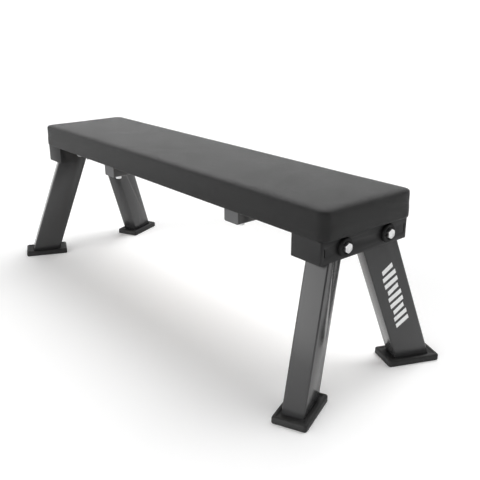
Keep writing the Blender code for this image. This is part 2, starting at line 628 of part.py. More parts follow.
def build_foot(name, ground, turn, rubber):
    """Shoe: rounded slab with a rim, a pocket that takes the leaning leg, and a grooved sole."""
    middle = LEAN_SLOPE * FOOT_TOP           # the shoe is centred on the leg where it goes in

    def outer_ring(inset, height):
        return level(rounded_rectangle(FOOT_WIDTH / 2 - inset, FOOT_LENGTH / 2 - inset,
                                       max(FOOT_CORNER - inset, FOOT_CORNER_LEAST)),
                     height, (0, middle))

    def pocket_ring(height):
        return level(rounded_rectangle(LEG_HALF_U + FIT_GAP, LEG_HALF_V + FIT_GAP, LEG_CORNER),
                     height, (0, LEAN_SLOPE * height))

    rings = [outer_ring(FOOT_SOLE_CHAMFER, 0), outer_ring(0, FOOT_SOLE_CHAMFER)]
    for step in range(CORNER_STEPS + 1):
        turn_angle = math.radians(90 * step / CORNER_STEPS)
        rings.append(outer_ring(FOOT_SHOULDER * (1 - math.cos(turn_angle)),
                                FOOT_SIDE + FOOT_SHOULDER * math.sin(turn_angle)))
    rim = FOOT_SHOULDER + FOOT_RIM
    rings += [outer_ring(rim, FOOT_TOP), outer_ring(rim + FOOT_DIP / 2, FOOT_TOP - FOOT_DIP),
              pocket_ring(FOOT_TOP - FOOT_DIP), pocket_ring(FOOT_SOLE)]
    shape = bmesh.new()
    add_loft(shape, rings)
    return finish(shape, name + "_foot", rubber, ground, turn)


def tread_grooves():
    """Shallow slots across the sole of each shoe."""
    shape = bmesh.new()
    half_u = FOOT_WIDTH / 2 - TREAD_MARGIN
    middle = LEAN_SLOPE * FOOT_TOP
    for _, sx, sy in CORNERS:
        place = Matrix.Translation(leg_middle(0, sx, sy)) @ Euler(leg_turn(sx, sy)).to_matrix().to_4x4()
        for index in range(TREAD_COUNT):
            across = middle + (index - (TREAD_COUNT - 1) / 2) * TREAD_PITCH
            outline = rounded_rectangle(half_u, TREAD_WIDTH / 2, TREAD_CORNER, 1)
            add_loft(shape, [level(outline, height, (0, across)) for height in (-OVERCUT, TREAD_DEPTH)],
                     place=place)
    return cutter(shape, "tread_grooves")


def main():
    for old in list(bpy.data.objects):
        bpy.data.objects.remove(old, do_unlink=True)
    vinyl = material("black_vinyl", (0.022, 0.022, 0.023), 0.42)
    foam = material("foam", (0.62, 0.60, 0.52), 0.95)
    plywood = material("plywood", (0.48, 0.33, 0.19), 0.75)
    black = material("black_powder_coat", (0.012, 0.012, 0.013), 0.5)
    paint = material("gunmetal_paint", (0.075, 0.078, 0.082), 0.35, 0.6)
    zinc = material("zinc_plate", (0.72, 0.73, 0.74), 0.3, 1.0)
    rubber = material("black_rubber", (0.014, 0.014, 0.014), 0.75)
    plastic = material("black_plastic", (0.02, 0.02, 0.021), 0.5)
    build_pad(vinyl, foam, plywood)
    build_frame_tubes(paint, plastic)
    build_brackets(black)
    build_legs(paint, zinc, rubber)
    build_leg_fasteners(zinc, black)
    build_pad_fasteners(zinc)


main()
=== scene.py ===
import math

import bmesh
import bpy
import numpy as np
from mathutils import Matrix, Vector, noise


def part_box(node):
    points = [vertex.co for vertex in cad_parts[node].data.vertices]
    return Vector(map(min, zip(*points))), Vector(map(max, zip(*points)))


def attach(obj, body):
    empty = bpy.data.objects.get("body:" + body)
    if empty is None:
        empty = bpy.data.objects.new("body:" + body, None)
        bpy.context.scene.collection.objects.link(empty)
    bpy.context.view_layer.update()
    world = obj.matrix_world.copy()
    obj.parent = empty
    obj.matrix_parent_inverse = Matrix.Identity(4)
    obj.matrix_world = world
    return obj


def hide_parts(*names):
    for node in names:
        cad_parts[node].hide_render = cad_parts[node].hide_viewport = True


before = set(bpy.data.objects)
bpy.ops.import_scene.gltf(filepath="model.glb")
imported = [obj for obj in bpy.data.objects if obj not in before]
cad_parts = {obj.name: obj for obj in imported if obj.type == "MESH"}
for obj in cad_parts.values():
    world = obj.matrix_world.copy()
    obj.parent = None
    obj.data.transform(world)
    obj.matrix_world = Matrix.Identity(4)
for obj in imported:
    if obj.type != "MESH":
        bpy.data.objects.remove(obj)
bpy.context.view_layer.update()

ENDS = (("front", 1), ("rear", -1))
SIDES = (("left", 1), ("right", -1))
CORNERS = [(end + "_" + side, sx, sy) for end, sx in ENDS for side, sy in SIDES]

# ---- Pad, in metres ----------------------------------------------------------------------
PLAN_CORNER = 0.022             # the pad's upright corners, seen from above
TOP_EDGE = 0.008                # rounding along the pad's top edge
HEM_EDGE = 0.003
HEM_WIDTH = 0.030
HEM_ARC = (45, 90)              # degrees round the lower edge, one row of the mesh each
HEM_ROWS = (0.35, 0.7, 1.0)     # rows across the flat hem, as shares of its width
COVER_THICKNESS = 0.0015
CAVITY_GAP = 0.0003             # board to the hollow round it
LEAST_CORNER = 0.002            # an outline drawn in keeps at least this corner
GRID_STEP = 0.006               # mesh spacing

START_INSET = 0.0012            # the shell starts this much smaller and swells back
SWELL_LIMIT = 0.0018            # farthest the simulation may move a point
PRESSURE = 0.5
BENDING = 2.0
SWELL_FRAMES = 20
STAPLED = 0.003                 # the vinyl is held up to this height over the board
EASE = 0.012                    # height over which the inset grows to its full size
CROWN = 0.0008
CROWN_ENDS = 8                  # how late the crown falls off towards the ends
RIPPLE = 0.00025                # soft unevenness of the stretched vinyl
RIPPLE_SCALE = (9, 14, 20)
CROWNED = 0.002                 # crown and ripple begin this far over the board

# ---- Staples and weld beads --------------------------------------------------------------
STAPLE_PITCH = 0.034
STAPLE_LENGTH = 0.012
STAPLE_INSET = 0.018            # edge of the pad to the row of staples
STAPLE_SKEW = 14                # most turn of a staple, in degrees
WIRE = 0.0009                   # staple wire
WIRE_SIDES = 6
WIRE_SUNK = 0.3                 # share of the wire pressed into the hem
STAPLE_ENDS = ((0.0, 0.0012), (0.0004, 0.0002), (0.0014, 0.0))   # inset and lift of the bent end
SKEW_SCALE = 40

BEAD = 0.0030                   # half width of a weld bead
BEAD_HEIGHT = 0.75              # height of a bead over its half width
BEAD_RIPPLE = 0.0035            # spacing of its ripples
BEAD_SECTION = (-35, 0, 35, 65, 90, 115, 145, 180, 215, 270)     # degrees round a bead
BEAD_PULSE = 0.14
BEAD_WANDER = 0.18
BEAD_WANDER_SCALE = 160
BEAD_TIP = 0.35                 # size of a bead at its ends
BEAD_TAPER = 6
BEAD_INSET = 0.004              # a bead stops this far from the end of its joint

# ---- Print on one leg --------------------------------------------------------------------
LEG_YAW = math.radians(23.5)    # turn and lean of the legs in the frame
LEG_LEAN = math.radians(20.05)
LEG_HALF_THICKNESS = 0.025
LEG_HALF_WIDTH = 0.040
LEG_CORNER = 0.004              # rounding of the leg tube's corners
MARK_BARS = 9
MARK_START = 0.060              # lower edge of the bracket to the first bar, down the leg
MARK_PITCH = 0.0175
MARK_BAR = 0.0105
MARK_WIDTH = 0.034
MARK_SHORT = 0.82               # every third bar is this share of the others
MARK_SLANT = 0.012
MARK_LIFT = 0.00002
MARK_THICKNESS = 0.00015

# ---- Washers and leg bolts ---------------------------------------------------------------
WASHER_WELL = 0.0068            # radius of the hole
WASHER_LIP = 0.0132             # radius of the dish
WASHER_DISH = 0.002
WASHER_RIM = 0.003              # rounding of the rim and of the dish's lip
WASHER_LIP_RIM = 0.0012
WASHER_FOOT = 0.0006
DISH_DRAFT = 0.0004
WASHER_STEPS = 64

BOLT_HEAD = 0.007               # height of the head
BOLT_FLATS = 0.019
BOLT_SHANK = 0.006              # radius
BOLT_THREADED = 0.022
BOLT_STEPS = 48
BOLT_SHARP = 28                 # degrees
HEAD_CHAMFER = 0.0012
HEAD_CHAMFER_SLOPE = 0.7
HEAD_ROUND = 0.45               # inside this share of the flats the head is turned, not hexagonal
HEAD_CORNER = 0.577             # middle to corner over the flats
HEAD_CORNER_WORN = 0.574
HEAD_RECESS = ((0.40, 0.0), (0.36, 0.0005))                      # radius over the flats, depth
RECESS_MIDDLE = (0.001, 0.0006)
SHANK_STEP = 0.0002
THREAD_PITCH = 0.00175
THREAD_DEPTH = 0.0007
THREAD_END = 0.0012             # taken off the radius at the tip
THREAD_ROWS = 4                 # rows of the mesh in one pitch

# ---- Edges of the rigid pieces -----------------------------------------------------------
SHEET_EDGE = 0.0005             # edge rounding of folded sheet, of ribs and tubes, of the shoes
PART_EDGE = 0.0004
SHOE_EDGE = 0.0008
SAME_POINT = 2e-6
FLAT = 0.5                      # degrees between faces that count as one
ROUNDED = 40                    # degrees of an edge that gets rounded

# ---- Camera and floor --------------------------------------------------------------------
CAMERA_PLACE = (1.40162, -1.00395, 0.78721)
CAMERA_TURN = (90 - 19.89524, 0, 50.1392)                        # degrees
SENSOR = 36.0
LENS = 49.35
FLOOR_RADIUS = 60.0
FLOOR_SIDES = 96
FLOOR_DROP = 0.0004
FLOOR_GLOW = 0.15               # lifts the pale floor to the white of the backdrop

# ---- Light: a bright band round the horizon under a dimmer sky, and soft suns ------------
SKY = {"From Min": 0.36, "From Max": 0.60, "To Min": 1.0, "To Max": 0.04}
SKY_SIDE = {"From Min": -1.0, "From Max": 1.0, "To Min": 0.12, "To Max": 1.62}
SKY_BRIGHT_SIDE = (-0.93, 0.10, 0.0)
SUNS = (("key", (0.10, -1.0, 0.16), 2.8, 72), ("top", (0.0, 0.55, 1.0), 2.1, 45))


# ---- Node materials ----------------------------------------------------------------------
class Finish:
    """A procedural material under construction, around one Principled shader."""

    def __init__(self, name, **sockets):
        self.material = bpy.data.materials.new(name)
        self.material.use_nodes = True
        self.tree = self.material.node_tree
        self.shader = self.tree.nodes["Principled BSDF"]
        for socket, value in sockets.items():
            self.shader.inputs[socket.replace("_", " ")].default_value = value
        self.place = self.node("ShaderNodeTexCoord").outputs["Object"]
        self.normal = None

    def node(self, kind, links=(), **settings):
        made = self.tree.nodes.new(kind)
        for key, value in settings.items():
            setattr(made, key, value)
        for socket, value in dict(links).items():
            if isinstance(value, bpy.types.NodeSocket):
                self.tree.links.new(value, made.inputs[socket])
            else:
                made.inputs[socket].default_value = value
        return made

    def stretched(self, scale):
        """Coordinates scaled apart along the axes, for grain that runs one way."""
        return self.node("ShaderNodeMapping", {"Vector": self.place, "Scale": scale}).outputs["Vector"]

    def noise(self, scale, detail=2.0, place=None, distortion=0.0):
        links = {"Vector": place or self.place, "Scale": scale, "Detail": detail, "Distortion": distortion}
        return self.node("ShaderNodeTexNoise", links).outputs["Fac"]

    def cells(self, scale, feature="F1", place=None):
        links = {"Vector": place or self.place, "Scale": scale}
        return self.node("ShaderNodeTexVoronoi", links, feature=feature).outputs["Distance"]

    def remap(self, value, low, high, to_low, to_high):
        links = {"Value": value, "From Min": low, "From Max": high, "To Min": to_low, "To Max": to_high}
        return self.node("ShaderNodeMapRange", links).outputs["Result"]

    def calculate(self, operation, first, second):
        return self.node("ShaderNodeMath", {0: first, 1: second}, operation=operation).outputs[0]

    def mix(self, share, first, second):
        made = self.node("ShaderNodeMix", {"Factor": share}, data_type="RGBA")
        for socket, colour in (("A", first), ("B", second)):
            slot = next(i for i in made.inputs if i.name == socket and i.type == "RGBA")
            if isinstance(colour, bpy.types.NodeSocket):
                self.tree.links.new(colour, slot)
            else:
                slot.default_value = (*colour, 1.0)
        return next(o for o in made.outputs if o.type == "RGBA")

    def bump(self, height, depth, strength=1.0):
        """Adds relief of the given depth in metres; calls stack."""
        links = {"Height": height, "Distance": depth, "Strength": strength}
        if self.normal:
            links["Normal"] = self.normal
        self.normal = self.node("ShaderNodeBump", links).outputs["Normal"]

    def edges(self, radius, low=0.90, high=0.995):
        """1 on outer and inner edges, 0 on open faces."""
        rounded = self.node("ShaderNodeBevel", {"Radius": radius}, samples=4).outputs["Normal"]
        plain = self.node("ShaderNodeNewGeometry").outputs["Normal"]
        links = {0: rounded, 1: plain}
        match = self.node("ShaderNodeVectorMath", links, operation="DOT_PRODUCT").outputs["Value"]
        return self.remap(match, low, high, 1.0, 0.0)

    def done(self, colour, roughness):
        for socket, value in (("Base Color", colour), ("Roughness", roughness), ("Normal", self.normal)):
            if value is not None:
                self.tree.links.new(value, self.shader.inputs[socket])
        return self.material


def vinyl():
    """Black upholstery vinyl: pebbled grain with fine creases between the pebbles; the creases are painted
    darker as shade.
    """
    f = Finish("black_vinyl", Specular_IOR_Level=0.21)
    wander = f.node("ShaderNodeMix", {"Factor": 0.0016}, data_type="VECTOR")
    warp = f.node("ShaderNodeTexNoise", {"Vector": f.place, "Scale": 260.0}).outputs["Color"]
    sockets = [i for i in wander.inputs if i.type == "VECTOR"]
    f.tree.links.new(f.place, sockets[0])
    f.tree.links.new(warp, sockets[1])
    place = next(o for o in wander.outputs if o.type == "VECTOR")
    crease = f.remap(f.cells(520.0, "DISTANCE_TO_EDGE", place), 0.0, 0.28, 0.0, 1.0)
    fine = f.noise(2200.0, 2.0)
    broad = f.noise(14.0, 3.0)
    f.bump(crease, 0.00030, 0.8)
    f.bump(fine, 0.00008, 0.4)
    colour = f.mix(f.remap(broad, 0.3, 0.7, 0.0, 1.0), (0.0085, 0.0085, 0.0088), (0.0125, 0.0124, 0.0122))
    # painted shade: the creases between the pebbles are darkened in the base colour
    colour = f.mix(f.remap(crease, 0.0, 1.0, 0.45, 0.0), colour, (0.004, 0.004, 0.004))
    wear = f.calculate("MULTIPLY", f.edges(0.006), f.remap(f.noise(90.0, 3.0), 0.45, 0.7, 0.0, 0.5))
    colour = f.mix(wear, colour, (0.030, 0.030, 0.031))
    roughness = f.calculate("ADD", f.remap(crease, 0.0, 1.0, 0.42, 0.26), f.remap(broad, 0.3, 0.7, 0.0, 0.05))
    return f.done(colour, roughness)


def powder_coat(name, dark, light, smooth, rough, grain, edge_colour, gloss=0.5):
    """Baked powder coat: orange-peel skin, a scatter of finer specks and rubbed edges."""
    f = Finish(name, Specular_IOR_Level=gloss)
    peel = f.noise(grain, 1.5)
    specks = f.cells(3200.0)
    broad = f.noise(9.0, 3.0)
    f.bump(peel, 0.00012, 0.35)
    f.bump(specks, 0.00003, 0.25)
    colour = f.mix(f.remap(broad, 0.3, 0.7, 0.0, 1.0), dark, light)
    colour = f.mix(f.remap(specks, 0.1, 0.5, 0.16, 0.0), colour, edge_colour)
    worn = f.calculate("MULTIPLY", f.edges(0.0012), f.remap(f.noise(160.0, 4.0), 0.42, 0.72, 0.1, 0.5))
    colour = f.mix(worn, colour, edge_colour)
    roughness = f.calculate("ADD", f.remap(broad, 0.3, 0.7, smooth, rough), f.remap(worn, 0.0, 1.0, 0.0, 0.1))
    return f.done(colour, roughness)


def zinc():
    """Bright zinc plate with turning marks and a slightly clouded passivation."""
    f = Finish("zinc_plate", Metallic=1.0)
    cloud = f.noise(140.0, 3.0)
    marks = f.noise(60.0, 4.0, f.stretched((3.0, 40.0, 40.0)))
    f.bump(marks, 0.00004, 0.3)
    colour = f.mix(f.remap(cloud, 0.35, 0.65, 0.0, 1.0), (0.60, 0.60, 0.61), (0.72, 0.72, 0.71))
    colour = f.mix(f.remap(f.edges(0.0012), 0.0, 1.0, 0.0, 0.6), colour, (0.84, 0.84, 0.84))
    return f.done(colour, f.remap(marks, 0.3, 0.7, 0.22, 0.38))


def rubber():
    """Moulded black rubber with a dusty, matt skin."""
    f = Finish("black_rubber", Specular_IOR_Level=0.35)
    skin = f.noise(900.0, 3.0)
    dust = f.noise(45.0, 4.0)
    f.bump(skin, 0.00010, 0.5)
    colour = f.mix(f.remap(dust, 0.4, 0.75, 0.0, 1.0), (0.014, 0.014, 0.014), (0.026, 0.026, 0.025))
    colour = f.mix(f.remap(f.edges(0.0025), 0.0, 1.0, 0.0, 0.5), colour, (0.045, 0.045, 0.044))
    return f.done(colour, f.remap(skin, 0.3, 0.7, 0.52, 0.70))


def plywood():
    """Rotary-cut plywood face: long grain figure, pores and a few darker streaks."""
    f = Finish("plywood")
    grain = f.noise(5.0, 6.0, f.stretched((1.0, 14.0, 14.0)), 0.8)
    pores = f.noise(40.0, 2.0, f.stretched((1.0, 40.0, 40.0)))
    f.bump(pores, 0.00015, 0.4)
    colour = f.mix(f.remap(grain, 0.3, 0.7, 0.0, 1.0), (0.30, 0.19, 0.10), (0.52, 0.36, 0.21))
    colour = f.mix(f.remap(pores, 0.55, 0.75, 0.0, 0.6), colour, (0.16, 0.09, 0.045))
    return f.done(colour, f.remap(grain, 0.2, 0.8, 0.62, 0.8))


def ink():
    """White screen-printed paint, a little uneven and chipped."""
    f = Finish("white_print")
    cover = f.noise(700.0, 3.0)
    f.bump(cover, 0.00005, 0.4)
    colour = f.mix(f.remap(cover, 0.35, 0.6, 0.0, 1.0), (0.78, 0.78, 0.78), (0.90, 0.90, 0.90))
    return f.done(colour, f.remap(cover, 0.3, 0.7, 0.4, 0.55))


# ---- Mesh helpers ------------------------------------------------------------------------
def new_piece(shape, name, finish, replaced=(), sharp_angle=32.0):
    """Turns a bmesh into a smooth-shaded piece that rides on the bench."""
    bmesh.ops.recalc_face_normals(shape, faces=shape.faces)
    mesh = bpy.data.meshes.new(name)
    shape.to_mesh(mesh)
    shape.free()
    mesh.shade_smooth()
    if sharp_angle:
        mesh.set_sharp_from_angle(angle=math.radians(sharp_angle))
    mesh.materials.append(finish)
    piece = bpy.data.objects.new(name, mesh)
    bpy.context.scene.collection.objects.link(piece)
    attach(piece, "root")
    if replaced:
        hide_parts(*replaced)
    return piece


def refined(node, finish, bevel, segments=2):
    """A finer piece in place of a CAD node: its own solid, welded up, with softened edges."""
    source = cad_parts[node].data
    shape = bmesh.new()
    corners = [shape.verts.new(v.co) for v in source.vertices]
    for polygon in source.polygons:
        shape.faces.new([corners[index] for index in polygon.vertices])
    bmesh.ops.remove_doubles(shape, verts=shape.verts, dist=SAME_POINT)
    bmesh.ops.dissolve_limit(shape, angle_limit=math.radians(FLAT), verts=shape.verts, edges=shape.edges)
    bmesh.ops.recalc_face_normals(shape, faces=shape.faces)
    if bevel:
        sharp = [e for e in shape.edges if e.is_manifold and e.calc_face_angle() > math.radians(ROUNDED)]
        bmesh.ops.bevel(shape, geom=sharp, offset=bevel, segments=segments, profile=0.5,
                        affect="EDGES", clamp_overlap=True)
    return new_piece(shape, node + "_finish", finish, [node])


def turned(shape, profile, steps, place, ripple=None):
    """Adds a body turned about the local Z axis from (radius, height) points, closed at both ends."""
    rings = []
    for radius, height in profile:
        ring = []
        for step in range(steps):
            turn = math.tau * step / steps
            r = ripple(radius, height, turn) if ripple else radius
            ring.append(shape.verts.new(place @ Vector((r * math.cos(turn), r * math.sin(turn), height))))
        rings.append(ring)
    for lower, upper in zip(rings, rings[1:]):
        for step in range(steps):
            after = (step + 1) % steps
            shape.faces.new((lower[step], lower[after], upper[after], upper[step]))
    shape.faces.new(rings[0])
    shape.faces.new(rings[-1])


def arc(radius, centre_r, centre_h, start, stop, steps=6):
    """Points of a turned profile's rounded corner; angles in degrees from the outward direction."""
    points = []
    for step in range(steps + 1):
        turn = math.radians(start + (stop - start) * step / steps)
        points.append((centre_r + radius * math.cos(turn), centre_h + radius * math.sin(turn)))
    return points


def outward(node, axis, sign):
    """Frame whose Z points out of the bench along an axis, from the inner face of a node's box."""
    low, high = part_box(node)
    centre = (low + high) / 2
    centre[axis] = low[axis] if sign > 0 else high[axis]
    direction = Vector((0, 0, 0))
    direction[axis] = sign
    return Matrix.Translation(centre) @ direction.to_track_quat("Z", "Y").to_matrix().to_4x4()


def hexagon_radius(flats, turn):
    """Distance from the middle to the side of a hexagon with slightly rounded corners."""
    from_flat = (turn + math.radians(30)) % math.radians(60) - math.radians(30)
    return min(flats / 2 / math.cos(from_flat), flats * HEAD_CORNER_WORN)


def thread(radius, height, turn):
    """Radius of a screw thread at a height and a turn."""
    phase = (height / THREAD_PITCH + turn / math.tau) % 1.0
    return radius - THREAD_DEPTH * abs(2 * phase - 1)


# ---- Pad ---------------------------------------------------------------------------------
def plan_inset(x, y, half_x, half_y, corner, inset):
    """A point of the rounded outline moved inwards, keeping its place round the outline."""
    core_x = max(-half_x + corner, min(half_x - corner, x))
    core_y = max(-half_y + corner, min(half_y - corner, y))
    out = Vector((x - core_x, y - core_y))
    if out.length < 1e-9:
        return x, y
    out.normalize()
    kept = max(corner - inset, LEAST_CORNER)
    reach_x, reach_y = half_x - inset - kept, half_y - inset - kept
    base_x = core_x if abs(core_x) < half_x - corner - 1e-9 else math.copysign(reach_x, core_x)
    base_y = core_y if abs(core_y) < half_y - corner - 1e-9 else math.copysign(reach_y, core_y)
    base_x = max(-reach_x, min(reach_x, base_x))
    base_y = max(-reach_y, min(reach_y, base_y))
    return base_x + out.x * kept, base_y + out.y * kept


def rounded_plan(x, y, half_x, half_y, corner):
    """Maps a filled rectangle onto a filled rectangle with rounded corners."""
    core_x = max(-half_x + corner, min(half_x - corner, x))
    core_y = max(-half_y + corner, min(half_y - corner, y))
    dx, dy = x - core_x, y - core_y
    length = math.hypot(dx, dy)
    if length < 1e-9:
        return x, y
    scale = max(abs(dx), abs(dy)) / length
    return core_x + dx * scale, core_y + dy * scale


def build_pad(finish):
    """Upholstered pad: swollen vinyl over foam, pulled round the board and hemmed beneath."""
    low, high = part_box("pad_cover")
    _, board_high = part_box("pad_board")
    half_x, half_y = high.x, high.y
    top, bottom = high.z, low.z
    count_x, count_y = round(2 * high.x / GRID_STEP), round(2 * high.y / GRID_STEP)
    count_z = round((top - bottom) / GRID_STEP)
    shape = bmesh.new()

    def surface(x, y, depth):
        """Pad surface over a box: rounded in plan, then rounded over the top edge."""
        px, py = rounded_plan(x, y, half_x, half_y, PLAN_CORNER)
        core_x = max(-half_x + PLAN_CORNER, min(half_x - PLAN_CORNER, px))
        core_y = max(-half_y + PLAN_CORNER, min(half_y - PLAN_CORNER, py))
        out = Vector((px - core_x, py - core_y))
        edge = PLAN_CORNER - out.length
        if edge < TOP_EDGE and depth < TOP_EDGE and out.length > 1e-9:
            run = Vector((TOP_EDGE - edge, TOP_EDGE - depth))
            run = run.normalized() * TOP_EDGE
            shift = edge - (TOP_EDGE - run.x)
            direction = out.normalized()
            px, py, depth = px + direction.x * shift, py + direction.y * shift, TOP_EDGE - run.y
        return Vector((px, py, top - depth))

    xs = [half_x * (2 * i / count_x - 1) for i in range(count_x + 1)]
    ys = [half_y * (2 * j / count_y - 1) for j in range(count_y + 1)]
    grid = [[shape.verts.new(surface(x, y, 0)) for y in ys] for x in xs]
    for i in range(count_x):
        for j in range(count_y):
            shape.faces.new((grid[i][j], grid[i + 1][j], grid[i + 1][j + 1], grid[i][j + 1]))
    rim = ([(i, 0) for i in range(count_x)] + [(count_x, j) for j in range(count_y)]
           + [(i, count_y) for i in range(count_x, 0, -1)] + [(0, j) for j in range(count_y, 0, -1)])
    rows = [[grid[i][j] for i, j in rim]]
    for step in range(1, count_z + 1):
        depth = (top - bottom - HEM_EDGE) * step / count_z
        rows.append([shape.verts.new(surface(xs[i], ys[j], depth)) for i, j in rim])
    lowest = rows[-1]
    shell_count = len(shape.verts)
    plan = [(v.co.x, v.co.y) for v in lowest]

    def ring(inset, height):
        points = [plan_inset(x, y, half_x, half_y, PLAN_CORNER, inset) for x, y in plan]
        return [shape.verts.new((x, y, height)) for x, y in points]

    hem = [(HEM_EDGE * (1 - math.cos(math.radians(a))), bottom + HEM_EDGE * (1 - math.sin(math.radians(a))))
           for a in HEM_ARC]
    hem += [(HEM_WIDTH * share, bottom) for share in HEM_ROWS]
    hem += [(HEM_WIDTH, bottom + COVER_THICKNESS), (high.x - board_high.x, bottom + COVER_THICKNESS)]
    hem += [(high.x - board_high.x - CAVITY_GAP, board_high.z + CAVITY_GAP)]
    rows += [ring(inset, height) for inset, height in hem]
    for upper, lower in zip(rows, rows[1:]):
        for k in range(len(rim)):
            after = (k + 1) % len(rim)
            shape.faces.new((upper[k], lower[k], lower[after], upper[after]))
    ceiling = dict(zip(rim, rows[-1]))
    for i in range(1, count_x - 1):
        shape.faces.new((ceiling[i, 0], ceiling[i + 1, 0], ceiling[i + 1, count_y], ceiling[i, count_y]))
    for end_i, next_i in ((0, 1), (count_x, count_x - 1)):
        shape.faces.new([ceiling[next_i, 0]] + [ceiling[end_i, j] for j in range(count_y + 1)]
                        + [ceiling[next_i, count_y]])
    pad = new_piece(shape, "pad", finish, ["pad_cover", "pad_foam"], sharp_angle=60)
    swell(pad, shell_count, board_high.z)
    shape_top(pad, high, board_high.z)


def swell(pad, shell_count, board_top):
    """Blows the foam's shell up a little against its stapled lower edge, as tight foam does."""
    mesh = pad.data
    end = np.array([v.co for v in mesh.vertices])
    held = board_top + STAPLED
    normals = np.array([v.normal for v in mesh.vertices])
    end -= normals * START_INSET * np.clip((end[:, 2:] - held) / EASE, 0, 1)
    start = end[:shell_count].copy()
    faces = [tuple(p.vertices) for p in mesh.polygons if max(p.vertices) < shell_count]
    shell_mesh = bpy.data.meshes.new("pad_shell")
    shell_mesh.from_pydata(start.tolist(), [], faces)
    shell = bpy.data.objects.new("pad_shell", shell_mesh)
    bpy.context.scene.collection.objects.link(shell)
    pins = shell.vertex_groups.new(name="stapled")
    pins.add([index for index in range(shell_count) if start[index, 2] < held], 1.0, "REPLACE")
    cloth = shell.modifiers.new("cloth", "CLOTH")
    cloth.settings.use_pressure = True
    cloth.settings.uniform_pressure_force = PRESSURE
    cloth.settings.vertex_group_mass = pins.name
    cloth.settings.effector_weights.gravity = 0.0
    cloth.settings.bending_stiffness = BENDING
    cloth.point_cache.frame_end = SWELL_FRAMES
    for step in range(1, SWELL_FRAMES + 1):
        bpy.context.scene.frame_set(step)
    evaluated = shell.evaluated_get(bpy.context.evaluated_depsgraph_get())
    moved = np.array([v.co for v in evaluated.data.vertices]) - start
    bpy.data.objects.remove(shell)
    bpy.data.meshes.remove(shell_mesh)
    bpy.context.scene.frame_set(1)
    length = np.linalg.norm(moved, axis=1, keepdims=True) + 1e-12
    end[:shell_count] += moved * (SWELL_LIMIT * np.tanh(length / SWELL_LIMIT) / length)
    mesh.vertices.foreach_set("co", end.astype(np.float32).ravel())
    mesh.update()


def shape_top(pad, high, board_top):
    """Crown along the middle and the faint unevenness of stretched vinyl."""
    for v in pad.data.vertices:
        if v.co.z > board_top + CROWNED:
            lift = (v.co.z - board_top) / (high.z - board_top)
            across = max(0.0, 1 - (v.co.y / high.y) ** 2)
            along = max(0.0, 1 - (v.co.x / high.x) ** CROWN_ENDS)
            ripple = noise.noise(v.co * Vector(RIPPLE_SCALE))
            v.co.z += lift * (CROWN * across * along + RIPPLE * ripple)
    pad.data.update()
    fine = pad.modifiers.new("fine", "SUBSURF")
    fine.levels = 1
    fine.render_levels = 1


# ---- Fasteners, beads, staples and print -------------------------------------------------
def build_washer(name, sx, finish):
    """Pressed black washer with a rounded rim and a dish for the bolt's head."""
    low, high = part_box(name + "_dished_washer")
    radius, height = (high.y - low.y) / 2, high.x - low.x
    profile = [(WASHER_WELL, 0.0), (radius - WASHER_FOOT, 0.0), (radius, WASHER_FOOT)]
    profile += arc(WASHER_RIM, radius - WASHER_RIM, height - WASHER_RIM, 0, 90)
    profile += arc(WASHER_LIP_RIM, WASHER_LIP + WASHER_LIP_RIM, height - WASHER_LIP_RIM, 90, 180, 4)
    profile += [(WASHER_LIP - DISH_DRAFT, height - WASHER_DISH), (WASHER_WELL, height - WASHER_DISH)]
    shape = bmesh.new()
    turned(shape, profile, WASHER_STEPS, outward(name + "_dished_washer", 0, sx))
    new_piece(shape, name + "_washer", finish, [name + "_dished_washer"])


def build_leg_bolt(name, sx, finish):
    """Hexagon bolt: washer face, chamfered head with a shallow recess, shank and rolled thread."""
    low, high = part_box(name + "_leg_bolt")
    length = high.x - low.x
    base = length - BOLT_HEAD
    rim = length - HEAD_CHAMFER
    shape = bmesh.new()

    def outline(radius, height, turn):
        if height < BOLT_THREADED:
            return thread(radius, height, turn)
        if height < base + SHANK_STEP / 2 or radius < BOLT_FLATS * HEAD_ROUND:
            return radius
        trimmed = BOLT_FLATS * HEAD_CORNER - max(0.0, height - rim) * HEAD_CHAMFER_SLOPE
        return min(hexagon_radius(BOLT_FLATS, turn), trimmed)

    count = round(BOLT_THREADED / THREAD_PITCH * THREAD_ROWS)
    profile = [(BOLT_SHANK - THREAD_END, 0.0)]
    profile += [(BOLT_SHANK, BOLT_THREADED * k / count) for k in range(1, count + 1)]
    profile += [(BOLT_SHANK, base)]
    profile += [(BOLT_FLATS / 2, height) for height in (base + SHANK_STEP, base + HEAD_CHAMFER, rim,
                                                       length - HEAD_CHAMFER / 2, length)]
    profile += [(BOLT_FLATS * share, length - depth) for share, depth in HEAD_RECESS]
    profile += [(RECESS_MIDDLE[0], length - RECESS_MIDDLE[1])]
    turned(shape, profile, BOLT_STEPS, outward(name + "_leg_bolt", 0, sx), outline)
    new_piece(shape, name + "_bolt", finish, [name + "_leg_bolt"], sharp_angle=BOLT_SHARP)


def add_bead(shape, start, end, away):
    """A weld bead along a joint: half-round, rippled, fading out at both ends."""
    run = end - start
    along = run.normalized()
    side = along.cross(away).normalized()
    count = max(6, int(run.length / BEAD_RIPPLE * 3))
    rings = []
    for step in range(count + 1):
        share = step / count
        pulse = 1 + BEAD_PULSE * math.cos(math.tau * share * run.length / BEAD_RIPPLE)
        wander = 1 + BEAD_WANDER * noise.noise((start + run * share) * BEAD_WANDER_SCALE)
        size = BEAD * pulse * wander * min(1.0, BEAD_TIP + BEAD_TAPER * min(share, 1 - share))
        middle = start + run * share
        rings.append([shape.verts.new(middle + side * size * math.cos(t)
                                      + away * size * BEAD_HEIGHT * math.sin(t))
                      for t in (math.radians(a) for a in BEAD_SECTION)])
    for lower, upper in zip(rings, rings[1:]):
        for k in range(len(lower)):
            after = (k + 1) % len(lower)
            shape.faces.new((lower[k], lower[after], upper[after], upper[k]))
    shape.faces.new(rings[0])
    shape.faces.new(rings[-1])


